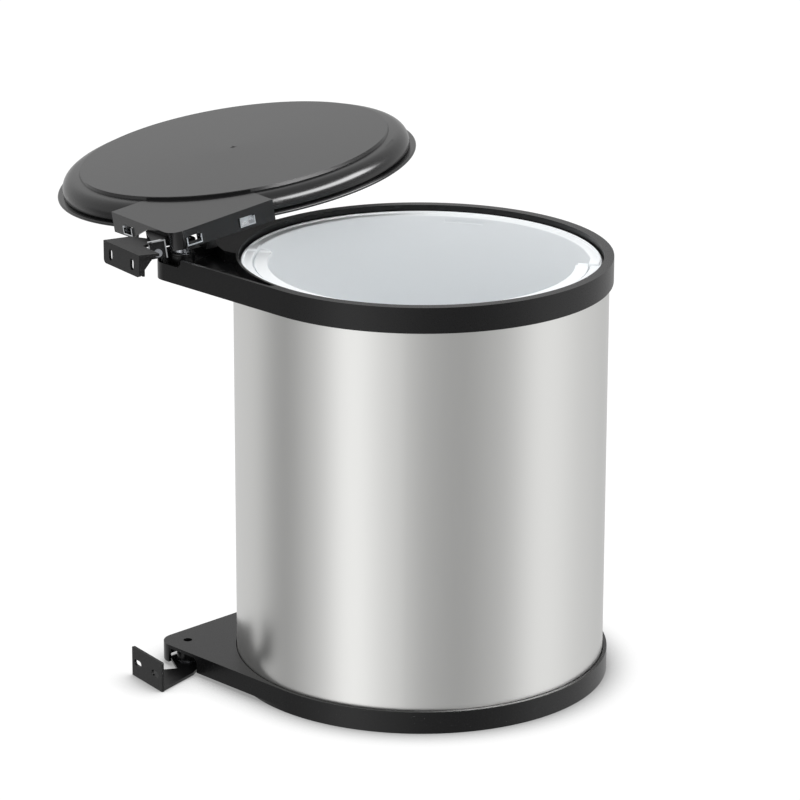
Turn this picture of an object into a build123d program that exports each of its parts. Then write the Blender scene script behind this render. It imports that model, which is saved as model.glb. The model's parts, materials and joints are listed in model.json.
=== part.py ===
from build123d import *
import os
from math import cos, sin, radians, sqrt

# Built-in swing-out waste bin for a kitchen cupboard, in millimetres, +Z up.
# The origin is on the underside of the base, on the axis of the round bin.
# The cupboard's side wall is a plane square to X, on the -X side, and the
# cupboard's front is towards -Y.  The bin is drawn swung out of the cupboard,
# the lid stays inside above the pivot and is raised.

# Driving dimensions of the bin
steel_radius = 132.0
steel_sheet = 0.6
frame_radius = 135.0
frame_wall = 2.4
frame_corner_radius = 14.0
base_height = 16.0
frame_top = 307.6
top_frame_height = 18.1
opening_radius = 128.0

# The pivot stands this far from the bin's axis, in the square corner
pivot_distance = 167.7
open_direction = -35.0
swing_angle = 79.0
corner_azimuth = open_direction + 180
pivot_x = pivot_distance * cos(radians(corner_azimuth))
pivot_y = pivot_distance * sin(radians(corner_azimuth))

# Wall brackets, placed from the pivot
bracket_sheet = 2.0
wall_distance = 47.5
upper_plate_top = 317.2
upper_flange_low = 301.0
upper_flange_y = (-20.6, 27.4)
lower_flange_top = 22.0
lower_flange_y = (-41.5, -1.0)

# Lid
lid_radius = 133.7
lid_closed_height = 311.2
lid_body_radius = 129.3
lid_disc_radius = 114.7
lid_crown = 18.4
lid_corner_radius = 10.0
apron_height = 13.2
apron_slope = 1.94
apron_length = 84.0
lid_wall = 2.2
lid_tilt = 8.3
hinge_azimuth = 247.0
hinge_offset = (-18.0, 6.5)
hinge_height = 311.8
hinge_pin_radius = 2.0

# Liner bucket and its bail
liner_rim_radius = 126.5
liner_rim_top = 303.6
liner_mouth_radius = 118.6
liner_base_radius = 104.0
liner_wall = 1.6
bail_axis_azimuth = -43.0
bail_axis_offset = 9.0

running_gap = 0.3
shaft_clearance = 0.05

os.makedirs("parts", exist_ok=True)


def write(builder, name):
    """Label a finished piece and write it under its own name."""
    builder.part.label = name
    export_step(builder.part, f"parts/{name}.step")


def frame_plane(height):
    """Level plane on the bin's axis whose X runs to the square corner."""
    toward_corner = (cos(radians(corner_azimuth)), sin(radians(corner_azimuth)), 0)
    return Plane(origin=(0, 0, height), x_dir=toward_corner, z_dir=(0, 0, 1))


def pivot_plane(height):
    """Level plane on the swing pivot, in line with the cupboard wall."""
    return Plane(origin=(pivot_x, pivot_y, height), x_dir=(1, 0, 0), z_dir=(0, 0, 1))


def corner_outline(radius, corner_radius):
    """Draw a disc that runs out into one rounded square corner on +X."""
    tangent = radius / sqrt(2)
    Circle(radius)
    with BuildSketch(mode=Mode.PRIVATE) as corner:
        Polygon((0, 0), (tangent, -tangent), (radius * sqrt(2), 0), (tangent, tangent), align=None)
        fillet(corner.vertices().sort_by(Axis.X)[-1], corner_radius)
    add(corner.sketch)


# Base frame: flat tray that closes the foot of the steel shell.
# Its square corner is a hood over the lower bracket's arm.
base_floor = 2.5
corner_underside = 2.8
lower_boss_radius = 8.0
lower_pin_radius = 3.0
lower_bush_radius = 4.6
lower_bush_low = 2.75
lower_flange_thick = 1.0
base_spigot_outer = steel_radius - steel_sheet - running_gap
rivet_radius = 1.6
rivet_azimuths = (40, 130, 230, 320)
base_rivet_height = 9.0
corner_roof = base_height - frame_wall

with BuildPart() as base_frame:
    with BuildSketch(frame_plane(corner_underside)):
        corner_outline(frame_radius, frame_corner_radius)
    extrude(amount=base_height - corner_underside)
    with BuildSketch(frame_plane(corner_underside)):
        corner_outline(frame_radius - frame_wall, frame_corner_radius - frame_wall)
    extrude(amount=corner_roof - corner_underside, mode=Mode.SUBTRACT)
    with BuildSketch(Plane.XY):
        Circle(frame_radius)
    extrude(amount=corner_underside + base_floor)
    with BuildSketch(Plane.XY.offset(base_floor)):
        Circle(frame_radius)
        Circle(steel_radius + 0.6, mode=Mode.SUBTRACT)
    extrude(amount=base_height - base_floor)
    with BuildSketch(Plane.XY.offset(base_floor)):
        Circle(steel_radius + 0.6)
    extrude(amount=base_height, mode=Mode.SUBTRACT)
    with BuildSketch(Plane.XY.offset(base_floor)):
        Circle(base_spigot_outer)
        Circle(base_spigot_outer - 2.0, mode=Mode.SUBTRACT)
    extrude(amount=base_height - 2.0 - base_floor)
    # the near wall of the corner is cut away beside the bracket's arm
    near_cut_length = 44.0
    near_wall_plane = Plane(
        origin=frame_plane(corner_underside).from_local_coords((frame_radius * sqrt(2), 0, 0)),
        x_dir=(cos(radians(corner_azimuth + 135)), sin(radians(corner_azimuth + 135)), 0),
        z_dir=(cos(radians(corner_azimuth + 45)), sin(radians(corner_azimuth + 45)), 0),
    )
    with BuildSketch(near_wall_plane):
        with BuildLine():
            Polyline(
                (frame_corner_radius, -2.0),
                (near_cut_length, -2.0),
                (near_cut_length, corner_roof - corner_underside - 3.0),
                (near_cut_length - 3.0, corner_roof - corner_underside),
                (frame_corner_radius, corner_roof - corner_underside),
                close=True,
            )
        make_face()
    extrude(amount=-2 * frame_wall, mode=Mode.SUBTRACT)
    # pivot boss under the corner's roof
    boss_low = lower_bush_low + lower_flange_thick
    with BuildSketch(pivot_plane(boss_low)):
        Circle(lower_boss_radius)
    extrude(amount=corner_roof - boss_low)
    with BuildSketch(pivot_plane(boss_low)):
        Circle(lower_bush_radius + shaft_clearance)
    extrude(amount=corner_roof - boss_low - 1.0, mode=Mode.SUBTRACT)
    with BuildSketch(pivot_plane(boss_low)):
        Circle(lower_pin_radius + 0.25)
    extrude(amount=base_height, mode=Mode.SUBTRACT)
    # rivet holes through the spigot
    for azimuth in rivet_azimuths:
        radial = Plane(
            origin=(0, 0, base_rivet_height),
            x_dir=(0, 0, 1),
            z_dir=(cos(radians(azimuth)), sin(radians(azimuth)), 0),
        )
        with BuildSketch(radial.offset(base_spigot_outer - 4.0)):
            Circle(rivet_radius + shaft_clearance)
        extrude(amount=4.5, mode=Mode.SUBTRACT)
write(base_frame, "base_frame")

# Steel shell: rolled stainless sheet, held between wall and spigot of both frames
top_frame_low = frame_top - top_frame_height
shell_low = base_floor + 0.1
shell_top = 297.2
top_rivet_height = 293.3

with BuildPart() as steel_shell:
    with BuildSketch(Plane.XY.offset(shell_low)):
        Circle(steel_radius)
        Circle(steel_radius - steel_sheet, mode=Mode.SUBTRACT)
    extrude(amount=shell_top - shell_low)
    for height in (base_rivet_height, top_rivet_height):
        for azimuth in rivet_azimuths:
            radial = Plane(
                origin=(0, 0, height),
                x_dir=(0, 0, 1),
                z_dir=(cos(radians(azimuth)), sin(radians(azimuth)), 0),
            )
            with BuildSketch(radial.offset(steel_radius - 3.0)):
                Circle(rivet_radius + shaft_clearance)
            extrude(amount=5.0, mode=Mode.SUBTRACT)
write(steel_shell, "steel_shell")


def rivets(height):
    """Four blind rivets, heads inside, through a spigot and the shell."""
    head_face = base_spigot_outer - 2.0 - 0.05
    with BuildPart() as group:
        for azimuth in rivet_azimuths:
            radial = Plane(
                origin=(0, 0, height),
                x_dir=(0, 0, 1),
                z_dir=(cos(radians(azimuth)), sin(radians(azimuth)), 0),
            )
            with BuildSketch(radial.offset(head_face)):
                Circle(rivet_radius)
            extrude(amount=steel_radius + 0.3 - head_face)
            with BuildSketch(radial.offset(head_face)):
                Circle(2 * rivet_radius)
            extrude(amount=-1.0, taper=20)
    return group


write(rivets(base_rivet_height), "base_frame_rivets")
write(rivets(top_rivet_height), "top_frame_rivets")

# Top frame: solid ring over the shell, with a hooded square corner.
# The far half of the corner is a level track for the lid's shoe, the near
# half is an open pocket that the shoe drops into as the bin swings in.
ring_low = shell_top + 0.3
spigot_inner = base_spigot_outer - 2.0
ledge_top = 301.2
ledge_inner = 122.4
pocket_floor = 299.5
pocket_wall = 2.0
upper_boss_radius = 9.0
upper_boss_top = 306.4
upper_pin_radius = 4.0
upper_bush_radius = 5.6
upper_bush_flange = 1.2


def pocket_outline(inset):
    """Plan of the open pocket between the pivot and the near wall."""
    wall_line = (frame_radius - frame_wall) * sqrt(2) + inset
    rim = opening_radius + 2.0 - inset
    end_angle = 40.0
    end = (rim * cos(radians(end_angle)), rim * sin(radians(end_angle)))
    start = (sqrt(rim**2 - 3.6**2), 3.6)
    middle = (rim * cos(radians(22)), rim * sin(radians(22)))
    with BuildLine(mode=Mode.PRIVATE) as outline:
        ThreePointArc(start, middle, end)
        Polyline(
            end,
            (wall_line - end[1], end[1]),
            (wall_line - 5.9, 5.9),
            (160.6 + inset, -7.3 - inset),
            (145.9, -20.9 - 1.5 * inset),
            (138.5 - inset, -3.0 - inset),
            start,
        )
    make_face(outline.edges())


with BuildPart() as top_frame:
    with BuildSketch(frame_plane(top_frame_low)):
        corner_outline(frame_radius, frame_corner_radius)
    extrude(amount=top_frame_height)
    with BuildSketch(frame_plane(top_frame_low)):
        corner_outline(frame_radius - frame_wall, frame_corner_radius - frame_wall)
    extrude(amount=top_frame_height - frame_wall, mode=Mode.SUBTRACT)
    with BuildSketch(frame_plane(ring_low)):
        Circle(frame_radius)
        pocket_outline(pocket_wall)
    extrude(amount=frame_top - ring_low)
    with BuildSketch(Plane.XY.offset(top_frame_low)):
        Circle(opening_radius + 3.1)
    extrude(amount=ring_low - top_frame_low)
    with BuildSketch(Plane.XY.offset(top_frame_low)):
        Circle(spigot_inner)
    extrude(amount=ledge_top - 2.5 - top_frame_low, mode=Mode.SUBTRACT)
    with BuildSketch(Plane.XY.offset(top_frame_low)):
        Circle(ledge_inner)
    extrude(amount=top_frame_height, mode=Mode.SUBTRACT)
    with BuildSketch(Plane.XY.offset(ledge_top)):
        Circle(opening_radius)
    extrude(amount=top_frame_height, mode=Mode.SUBTRACT)
    with BuildSketch(frame_plane(pocket_floor)):
        pocket_outline(0)
    extrude(amount=top_frame_height, mode=Mode.SUBTRACT)
    # notch in the near wall beside the pocket
    notch_length = 33.0
    notch_depth = 5.6
    notch_plane = Plane(
        origin=frame_plane(frame_top).from_local_coords((frame_radius * sqrt(2), 0, 0)),
        x_dir=near_wall_plane.x_dir,
        z_dir=near_wall_plane.z_dir,
    )
    with BuildSketch(notch_plane):
        with BuildLine():
            Polyline(
                (8.0, 1.0),
                (notch_length, 1.0),
                (notch_length, 3.0 - notch_depth),
                (notch_length - 3.0, -notch_depth),
                (8.0, -notch_depth),
                close=True,
            )
        make_face()
    extrude(amount=-1.5 * frame_wall, mode=Mode.SUBTRACT)
    # pivot boss
    with BuildSketch(pivot_plane(top_frame_low)):
        Circle(upper_boss_radius)
    extrude(amount=upper_boss_top - top_frame_low)
    with BuildSketch(pivot_plane(upper_boss_top)):
        Circle(upper_boss_radius)
    extrude(amount=5, mode=Mode.SUBTRACT)
    with BuildSketch(pivot_plane(top_frame_low - 1)):
        Circle(upper_bush_radius + shaft_clearance)
    extrude(amount=top_frame_height + 2, mode=Mode.SUBTRACT)
    for azimuth in rivet_azimuths:
        radial = Plane(
            origin=(0, 0, top_rivet_height),
            x_dir=(0, 0, 1),
            z_dir=(cos(radians(azimuth)), sin(radians(azimuth)), 0),
        )
        with BuildSketch(radial.offset(base_spigot_outer - 4.0)):
            Circle(rivet_radius + shaft_clearance)
        extrude(amount=4.5, mode=Mode.SUBTRACT)
write(top_frame, "top_frame")

# Pivot bushes, pins, washer and clip
with BuildPart() as lower_pivot_bush:
    with BuildSketch(pivot_plane(lower_bush_low)):
        Circle(lower_boss_radius)
    extrude(amount=lower_flange_thick - shaft_clearance)
    with BuildSketch(pivot_plane(lower_bush_low)):
        Circle(lower_bush_radius)
    extrude(amount=corner_roof - lower_bush_low - 1.2)
    with BuildSketch(pivot_plane(0)):
        Circle(lower_pin_radius + shaft_clearance)
    extrude(amount=base_height, mode=Mode.SUBTRACT)
write(lower_pivot_bush, "lower_pivot_bush")

with BuildPart() as upper_pivot_bush:
    with BuildSketch(pivot_plane(upper_boss_top + shaft_clearance)):
        Circle(upper_boss_radius - 0.6)
    extrude(amount=upper_bush_flange)
    with BuildSketch(pivot_plane(top_frame_low)):
        Circle(upper_bush_radius)
    extrude(amount=upper_boss_top + shaft_clearance - top_frame_low)
    with BuildSketch(pivot_plane(top_frame_low - 1)):
        Circle(upper_pin_radius + shaft_clearance)
    extrude(amount=top_frame_height + 2, mode=Mode.SUBTRACT)
write(upper_pivot_bush, "upper_pivot_bush")

collar_low = upper_boss_top + upper_bush_flange + 0.45
pin_tip = 285.0
clip_low = 287.2
clip_thick = 1.0
groove_radius = upper_pin_radius - 0.8
with BuildPart() as upper_pivot_pin:
    with BuildSketch(Plane.XZ):
        with BuildLine():
            Polyline(
                (0, pin_tip),
                (upper_pin_radius - 0.8, pin_tip),
                (upper_pin_radius, pin_tip + 0.8),
                (upper_pin_radius, clip_low),
                (groove_radius, clip_low),
                (groove_radius, clip_low + clip_thick),
                (upper_pin_radius, clip_low + clip_thick),
                (upper_pin_radius, collar_low),
                (6.0, collar_low),
                (6.0, upper_plate_top - bracket_sheet - 0.05),
                (upper_pin_radius, upper_plate_top - bracket_sheet - 0.05),
                (upper_pin_radius, upper_plate_top + 0.05),
                (6.0, upper_plate_top + 0.05),
                (5.2, upper_plate_top + 0.95),
                (0, upper_plate_top + 0.95),
                close=True,
            )
        make_face()
    revolve(axis=Axis.Z)
upper_pivot_pin.part.position = (pivot_x, pivot_y, 0)
write(upper_pivot_pin, "upper_pivot_pin")

with BuildPart() as upper_pin_clip:
    with BuildSketch(pivot_plane(clip_low + 0.05)):
        Circle(7.0)
        Circle(groove_radius + 0.05, mode=Mode.SUBTRACT)
        with Locations((5.0, 0)):
            Rectangle(7.0, 2 * groove_radius - 1.4, mode=Mode.SUBTRACT)
    extrude(amount=clip_thick - 0.1)
write(upper_pin_clip, "upper_pin_clip")

with BuildPart() as lower_pivot_pin:
    with BuildSketch(pivot_plane(0.1)):
        Circle(lower_pin_radius)
    extrude(amount=11.9)
    chamfer(lower_pivot_pin.edges().group_by(Axis.Z)[-1], 0.6)
write(lower_pivot_pin, "lower_pivot_pin")

with BuildPart() as lower_thrust_washer:
    with BuildSketch(pivot_plane(bracket_sheet + 0.05)):
        Circle(lower_boss_radius + 1.0)
        Circle(lower_pin_radius + shaft_clearance, mode=Mode.SUBTRACT)
    extrude(amount=0.6)
write(lower_thrust_washer, "lower_thrust_washer")

# Lower bracket: folded sheet, slotted flange against the wall, arm to the pivot
slot_radius = 2.25
lower_slot_length = 9.5
lower_slot_spacing = 23.8
lower_slot_y = sum(lower_flange_y) / 2 + 0.6
lower_slot_z = 11.2
with BuildPart() as lower_bracket:
    with BuildSketch(pivot_plane(0)):
        with BuildLine():
            arm_end = Polyline(
                (-wall_distance, lower_flange_y[1]),
                (-wall_distance, lower_flange_y[0]),
                (-12.0, -26.5),
                (8.0, -11.0),
            )
            ThreePointArc((8.0, -11.0), (13.6, 0), (5.0, 12.65))
            Polyline((5.0, 12.65), (-9.0, 10.2), (-17.0, -13.0), (-wall_distance, lower_flange_y[1]))
        make_face()
        Circle(lower_pin_radius + 0.02, mode=Mode.SUBTRACT)
    extrude(amount=bracket_sheet)
    with BuildSketch(pivot_plane(0)):
        with Locations((-wall_distance, sum(lower_flange_y) / 2)):
            Rectangle(
                bracket_sheet,
                lower_flange_y[1] - lower_flange_y[0],
                align=(Align.MIN, Align.CENTER),
            )
    extrude(amount=lower_flange_top)
    flange_corners = (
        lower_bracket.edges().filter_by(Axis.X).group_by(Axis.Z)[-1]
    )
    fillet(flange_corners, 1.0)
    wall_face = Plane(
        origin=(pivot_x - wall_distance, pivot_y, 0), x_dir=(0, -1, 0), z_dir=(-1, 0, 0)
    )
    with BuildSketch(wall_face):
        for side in (-1, 1):
            with Locations((-(lower_slot_y + side * lower_slot_spacing / 2), lower_slot_z)):
                SlotOverall(lower_slot_length, 2 * slot_radius)
    extrude(amount=-2 * bracket_sheet, mode=Mode.SUBTRACT)
write(lower_bracket, "lower_bracket")

# Upper bracket: flange, level plate with a neck to the pivot, side gusset,
# and two ears under the neck that carry the lid's hinge pin
upper_slot_length = 8.2
upper_slot_y = (-10.8, 17.9)
upper_slot_z = 308.6
hinge_plane_at = (pivot_x + hinge_offset[0], pivot_y + hinge_offset[1], hinge_height)
hinge_direction = (cos(radians(hinge_azimuth)), sin(radians(hinge_azimuth)), 0)
hinge_side = (-hinge_direction[1], hinge_direction[0], 0)
bracket_ear_at = 8.0
lid_ear_at = 11.6
lid_ear_sheet = 1.5
ear_half = 3.4


def hinge_section(offset):
    """Upright plane square to the hinge pin, offset along the pin."""
    middle = [hinge_plane_at[i] + offset * hinge_direction[i] for i in range(3)]
    return Plane(origin=middle, x_dir=hinge_side, z_dir=hinge_direction)


plate_low = upper_plate_top - bracket_sheet
with BuildPart() as upper_bracket:
    with BuildSketch(pivot_plane(plate_low)):
        with BuildLine():
            Polyline(
                (3.0, 9.0),
                (-8.0, 14.0),
                (-20.0, 14.0),
                (-27.0, 25.0),
                (-wall_distance, upper_flange_y[1]),
                (-wall_distance, upper_flange_y[0]),
                (-33.0, -24.0),
                (-32.4, -1.0),
                (-28.4, 0.4),
                (-16.0, -4.6),
                (-11.0, -5.2),
                (-6.5, -6.9),
            )
            ThreePointArc((-6.5, -6.9), (9.2, -2.4), (3.0, 9.0))
        make_face()
        Circle(upper_pin_radius + 0.02, mode=Mode.SUBTRACT)
    extrude(amount=bracket_sheet)
    with BuildSketch(pivot_plane(upper_flange_low)):
        with Locations((-wall_distance, sum(upper_flange_y) / 2)):
            Rectangle(
                bracket_sheet,
                upper_flange_y[1] - upper_flange_y[0],
                align=(Align.MIN, Align.CENTER),
            )
    extrude(amount=upper_plate_top - upper_flange_low)
    fillet(upper_bracket.edges().filter_by(Axis.X).group_by(Axis.Z)[0], 3.0)
    gusset_plane = Plane(
        origin=(pivot_x - wall_distance, pivot_y + upper_flange_y[0], 0),
        x_dir=(1, 0, 0),
        z_dir=(0, -1, 0),
    )
    with BuildSketch(gusset_plane):
        with BuildLine():
            Polyline(
                (bracket_sheet / 2, upper_flange_low + 3.0),
                (3.0, upper_flange_low + 0.4),
                (4.6, upper_flange_low + 0.4),
                (4.6, upper_flange_low + 5.0),
                (13.6, upper_plate_top - bracket_sheet / 2),
                (bracket_sheet / 2, upper_plate_top - bracket_sheet / 2),
                close=True,
            )
        make_face()
    extrude(amount=-bracket_sheet)
    for side in (-1, 1):
        with BuildSketch(hinge_section(side * bracket_ear_at)):
            with BuildLine():
                root = plate_low + 0.5 - hinge_height
                Polyline((-ear_half, 0), (-ear_half, root), (ear_half, root), (ear_half, 0))
                ThreePointArc((ear_half, 0), (0, -ear_half), (-ear_half, 0))
            make_face()
            Circle(hinge_pin_radius + 0.02, mode=Mode.SUBTRACT)
        extrude(amount=side * -bracket_sheet)
    with BuildSketch(wall_face):
        for offset in upper_slot_y:
            with Locations((-offset, upper_slot_z)):
                SlotOverall(upper_slot_length, 2 * slot_radius, rotation=90)
    extrude(amount=-bracket_sheet - 1, mode=Mode.SUBTRACT)
write(upper_bracket, "upper_bracket")

# Lid hinge pin with a head and a retaining clip
pin_half = lid_ear_at + lid_ear_sheet + 1.4
with BuildPart() as lid_hinge_pin:
    with BuildSketch(hinge_section(-pin_half)):
        Circle(hinge_pin_radius)
    extrude(amount=2 * pin_half)
    with BuildSketch(hinge_section(pin_half - 0.9)):
        Circle(hinge_pin_radius + 1.0)
    extrude(amount=0.9)
    with BuildSketch(hinge_section(0.8 - pin_half)):
        Circle(hinge_pin_radius)
        Circle(hinge_pin_radius - 0.5, mode=Mode.SUBTRACT)
    extrude(amount=0.6, mode=Mode.SUBTRACT)
write(lid_hinge_pin, "lid_hinge_pin")

with BuildPart() as lid_hinge_clip:
    with BuildSketch(hinge_section(0.85 - pin_half)):
        Circle(hinge_pin_radius + 1.2)
        Circle(hinge_pin_radius - 0.45, mode=Mode.SUBTRACT)
        with Locations((0, -2.4)):
            Rectangle(2.0, 3.4, mode=Mode.SUBTRACT)
    extrude(amount=0.5)
write(lid_hinge_clip, "lid_hinge_clip")

# Lid pieces are drawn on the lid's own plane: level and over the closed bin,
# then turned up about the hinge pin to the raised position
closed_direction = radians(open_direction + swing_angle)
lid_centre = (
    pivot_x + pivot_distance * cos(closed_direction),
    pivot_y + pivot_distance * sin(closed_direction),
    lid_closed_height,
)
lid_corner = (-cos(closed_direction), -sin(closed_direction), 0)
closed_lid = Plane(origin=lid_centre, x_dir=lid_corner, z_dir=(0, 0, 1))
raise_lid = (
    Location(hinge_plane_at)
    * Location((0, 0, 0), hinge_direction, lid_tilt)
    * Location([-value for value in hinge_plane_at])
)


def raised(plane):
    """The same plane after the lid has been turned up about its pin."""
    return Plane(raise_lid * plane.location)


def lid_level(height):
    """Plane of the raised lid at a height above its lip, X to the corner."""
    return raised(closed_lid.offset(height))


def raised_section(offset):
    """Section square to the hinge pin, carried round with the lid."""
    return raised(hinge_section(offset))


# Lid shell: round dome with a raised disc, a rolled edge and a thin lip,
# and a flat apron with upright walls over the hinge corner
step_height = 15.5
disc_foot = lid_disc_radius + 0.8
body_foot = 3.6
apron_apex = lid_radius * sqrt(2)
apron_end = apron_length / sqrt(2)
apron_corner = apron_apex - lid_corner_radius * (sqrt(2) - 1)


def apron_outline(inset, corner_radius):
    """Plan of the apron, drawn in from its walls by an inset."""
    apex = (lid_radius - inset) * sqrt(2)
    reach = apron_end - inset * (sqrt(2) - 1) / sqrt(2)
    end = (apex - reach, reach)
    inner = 24.0
    with BuildSketch(mode=Mode.PRIVATE) as plan:
        Polygon(
            (apex, 0),
            end,
            (end[0] - inner, end[1] - inner),
            (end[0] - inner, inner - end[1]),
            (end[0], -end[1]),
            align=None,
        )
        fillet(plan.vertices().sort_by(Axis.X)[-1], corner_radius)
    add(plan.sketch)


def wall_plane(side):
    """Outer face of one apron wall: origin at the apex, X level, Y up.

    side +1 is the wall towards the cupboard's wall, -1 the one to its front.
    Points along the wall lie at -side times their distance from the apex.
    """
    along = (side / sqrt(2), 1 / sqrt(2), 0)
    outward = (1 / sqrt(2), -side / sqrt(2), 0)
    apex = (apron_apex, 0, 0)
    x_dir = closed_lid.from_local_coords(along) - closed_lid.origin
    z_dir = closed_lid.from_local_coords(outward) - closed_lid.origin
    return Plane(origin=closed_lid.from_local_coords(apex), x_dir=x_dir, z_dir=z_dir)


# windows in the apron's walls: wall, distance from the apex, sill height
window_width = 13.0
window_height = 6.8
windows = ((-1, 17.0, 1.4), (-1, 61.0, 2.2), (1, 62.0, 1.4))
# cut in the wall for the bracket's neck, as distance from the apex and height
neck_cut = ((6.5, -1.0), (6.5, 10.4), (35.0, 10.4), (52.0, 3.0), (54.0, -1.0))
plate_top = 10.0
plate_sheet = 1.2
screw_spots = ((150.0, -26.0), (150.0, 26.0), (140.0, 0.0))
stub_radius = 3.4
stub_bore = 1.2
tongue_root = -11.0
tongue_near = -5.8
tongue_far = 22.0

with BuildPart() as lid_shell:
    with BuildSketch(raised(Plane(closed_lid.origin, x_dir=closed_lid.x_dir, z_dir=-closed_lid.y_dir))):
        with BuildLine():
            Polyline(
                (0, lid_crown),
                (lid_disc_radius, lid_crown - 0.7),
                (disc_foot, step_height),
                (120.0, step_height - 0.4),
            )
            ThreePointArc((120.0, step_height - 0.4), (126.4, 12.4), (lid_body_radius, 6.2))
            Polyline(
                (lid_body_radius, 6.2),
                (lid_body_radius, body_foot),
                (lid_body_radius - 0.9, 2.4),
                (lid_radius - 1.1, 2.3),
            )
            ThreePointArc((lid_radius - 1.1, 2.3), (lid_radius, 1.2), (lid_radius - 1.1, 0))
            Polyline((lid_radius - 1.1, 0), (126.8, 0), (126.8, 6.0))
            ThreePointArc((126.8, 6.0), (124.7, 10.6), (119.4, 12.9))
            Polyline(
                (119.4, 12.9),
                (114.0, 13.3),
                (113.2, step_height),
                (0, lid_crown - lid_wall),
                (0, lid_crown),
            )
        make_face()
    revolve(axis=Axis(lid_level(0).origin, lid_level(0).z_dir))
    # the apron is drawn tall, hollowed below its roof, and its roof then cut sloping
    with BuildSketch(lid_level(0)):
        apron_outline(0, lid_corner_radius)
        Circle(lid_body_radius - 2.0, mode=Mode.SUBTRACT)
    extrude(amount=step_height + 2.0)
    with BuildSketch(lid_level(body_foot + 7.0)):
        apron_outline(0, lid_corner_radius)
        Circle(disc_foot, mode=Mode.SUBTRACT)
    extrude(amount=step_height - body_foot - 5.0)
    with BuildSketch(lid_level(0)):
        apron_outline(lid_wall, lid_corner_radius - lid_wall)
        Circle(lid_body_radius, mode=Mode.SUBTRACT)
    extrude(amount=apron_height - lid_wall, mode=Mode.SUBTRACT)
    fall = sin(radians(apron_slope))
    roof = lid_level(apron_height)
    roof_plane = Plane(
        roof.from_local_coords((apron_corner, 0, 0)),
        x_dir=roof.x_dir - roof.z_dir * fall,
        z_dir=roof.z_dir + roof.x_dir * fall,
    )
    with BuildSketch(roof_plane):
        Rectangle(2 * (apron_corner - disc_foot / sqrt(2)), 2 * apron_length)
        with Locations((-apron_corner, 0)):
            Circle(disc_foot, mode=Mode.SUBTRACT)
    extrude(amount=step_height, mode=Mode.SUBTRACT)
    for side, offset, sill in windows:
        with BuildSketch(raised(wall_plane(side))):
            with Locations((-side * offset, sill + window_height / 2)):
                Rectangle(window_width, window_height)
        extrude(amount=-1.6 * lid_wall, mode=Mode.SUBTRACT)
    with BuildSketch(raised(wall_plane(1))):
        Polygon(*[(-along, height) for along, height in neck_cut], align=None)
    extrude(amount=-2.5 * lid_wall, mode=Mode.SUBTRACT)
    # stubs under the apron's roof take the screws of the hinge plate
    for spot in screw_spots:
        with BuildSketch(lid_level(plate_top)):
            with Locations(spot):
                Circle(stub_radius)
                Circle(stub_bore, mode=Mode.SUBTRACT)
        extrude(amount=apron_height - lid_wall + 0.5 - plate_top)
write(lid_shell, "lid_shell")

# Hinge plate of the lid: black coated sheet under the apron's roof, with a
# tongue out through the cut in the wall and two ears down to the hinge pin
end_clip_half = 6.2
end_clip_low = -4.0
end_clip_depth = 2.2
end_clip_back = 0.4
end_clip_top = lid_closed_height + plate_top - hinge_height
end_clip_seat = lid_ear_at + lid_ear_sheet
end_middle = (end_clip_low + end_clip_top) / 2


def hinge_corner(along, across):
    """Plan point by its place along and across the hinge, from the pivot."""
    x = hinge_offset[0] + along * hinge_direction[0] + across * hinge_side[0]
    y = hinge_offset[1] + along * hinge_direction[1] + across * hinge_side[1]
    return (x, y)


with BuildPart() as lid_hinge_plate:
    with BuildSketch(lid_level(plate_top - plate_sheet)):
        apron_outline(lid_wall + 0.4, lid_corner_radius - lid_wall)
        Circle(lid_body_radius + 0.5, mode=Mode.SUBTRACT)
        for spot in screw_spots:
            with Locations(spot):
                Circle(stub_bore + 0.3, mode=Mode.SUBTRACT)
    extrude(amount=plate_sheet)
    for side in (-1, 1):
        with BuildSketch(raised_section(side * lid_ear_at)):
            with BuildLine():
                ear_top = lid_closed_height + plate_top - plate_sheet / 2 - hinge_height
                Polyline((-ear_half, 0), (-ear_half, ear_top), (ear_half, ear_top), (ear_half, 0))
                ThreePointArc((ear_half, 0), (0, -ear_half), (-ear_half, 0))
            make_face()
            Circle(hinge_pin_radius + shaft_clearance, mode=Mode.SUBTRACT)
        extrude(amount=side * lid_ear_sheet)
    with BuildSketch(raised(pivot_plane(lid_closed_height + plate_top - plate_sheet))):
        tongue = [hinge_corner(lid_ear_at + lid_ear_sheet, across) for across in (-ear_half, ear_half)]
        tongue += [(-15.8, tongue_near), (tongue_root, tongue_near), (tongue_root, tongue_far)]
        tongue += [hinge_corner(-lid_ear_at - lid_ear_sheet, -ear_half)]
        Polygon(*tongue, align=None)
    extrude(amount=plate_sheet)
    # flat behind the clip round the head of the hinge pin
    with BuildSketch(raised_section(end_clip_seat)):
        with Locations((0, end_middle)):
            Rectangle(2 * end_clip_half, end_clip_top - end_clip_low)
        Circle(hinge_pin_radius + shaft_clearance, mode=Mode.SUBTRACT)
    extrude(amount=end_clip_back)
write(lid_hinge_plate, "lid_hinge_plate")

# Chromed spring clips: folded channels that hang from the hinge plate and stick
# out through the windows, and one round the near end of the hinge pin
clip_sheet = 0.9
clip_gap = 0.3
clip_reach = 1.2
clip_depth = 3.0
clip_leg_top = plate_top - plate_sheet

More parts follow.
